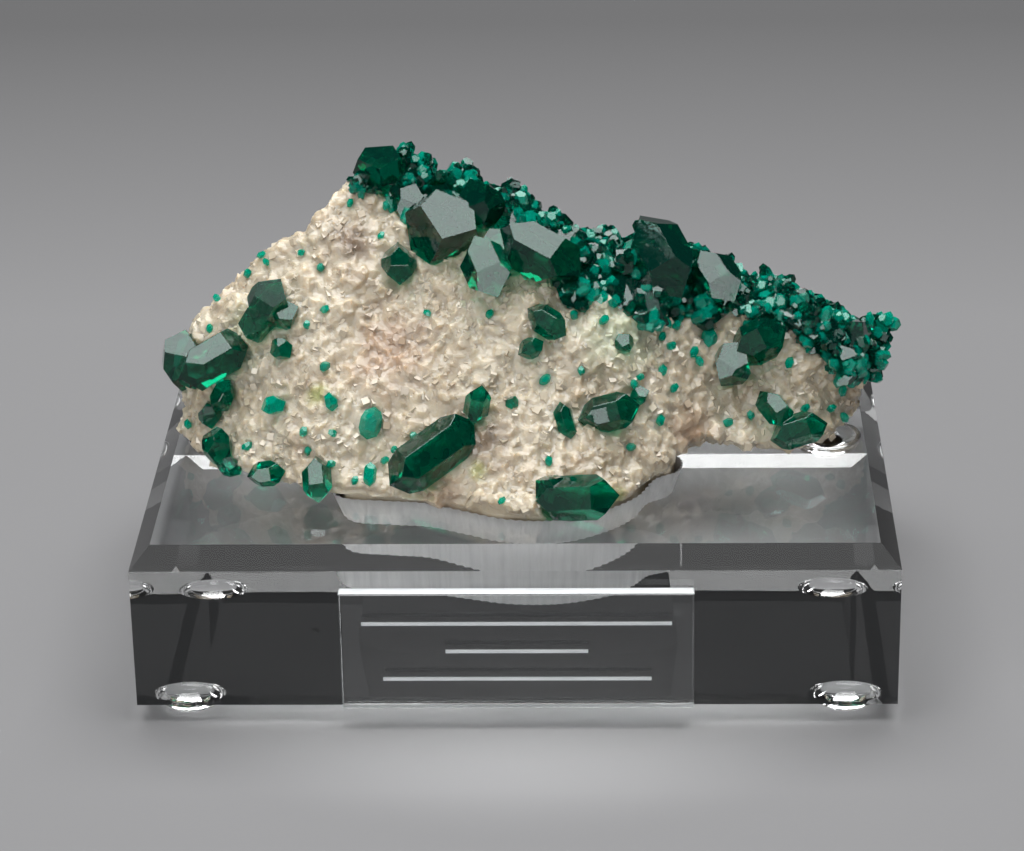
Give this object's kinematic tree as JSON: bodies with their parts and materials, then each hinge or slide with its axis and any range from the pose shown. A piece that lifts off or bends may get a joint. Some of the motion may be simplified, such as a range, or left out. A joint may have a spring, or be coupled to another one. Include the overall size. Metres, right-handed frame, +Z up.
{
  "type": "dioptase specimen on acrylic base",
  "caption": "Loose piece of drusy calcite with dark green dioptase crystals, seated in the milled pocket of a clear acrylic base with soft feet and a blank label plate.",
  "frame": {"origin": "centre of the object's box at the floor, under the feet", "axes": "+Z up; +X to the right along the label; -Y is the front, where the label plate is"},
  "size_m": [0.116, 0.0738, 0.073],
  "materials": {
    "clear_acrylic": "clear polished, milled pocket frosted",
    "clear_rubber": "clear soft dome",
    "cream_calcite": "drusy, matt to glittering",
    "dioptase_green": "clear dark green, glassy"
  },
  "bodies": {
    "root": {"acrylic_block": "clear_acrylic", "label_plate": "clear_acrylic", "foot_front_left": "clear_rubber", "foot_front_right": "clear_rubber", "foot_rear_left": "clear_rubber", "foot_rear_right": "clear_rubber", "calcite_matrix": "cream_calcite", "dioptase_ridge": "dioptase_green", "dioptase_stub": "dioptase_green", "dioptase_left_end": "dioptase_green", "dioptase_left_end_2": "dioptase_green", "dioptase_left_upper": "dioptase_green", "dioptase_left_upper_2": "dioptase_green", "dioptase_left_edge": "dioptase_green", "dioptase_lower_left": "dioptase_green", "dioptase_lower_box": "dioptase_green", "dioptase_long": "dioptase_green", "dioptase_hexagon": "dioptase_green", "dioptase_upright": "dioptase_green", "dioptase_pair": "dioptase_green", "dioptase_pair_2": "dioptase_green", "dioptase_large_low": "dioptase_green", "dioptase_tablet": "dioptase_green", "dioptase_tablet_small": "dioptase_green", "dioptase_bead": "dioptase_green", "dioptase_right_vee": "dioptase_green"}
  },
  "joints": []
}
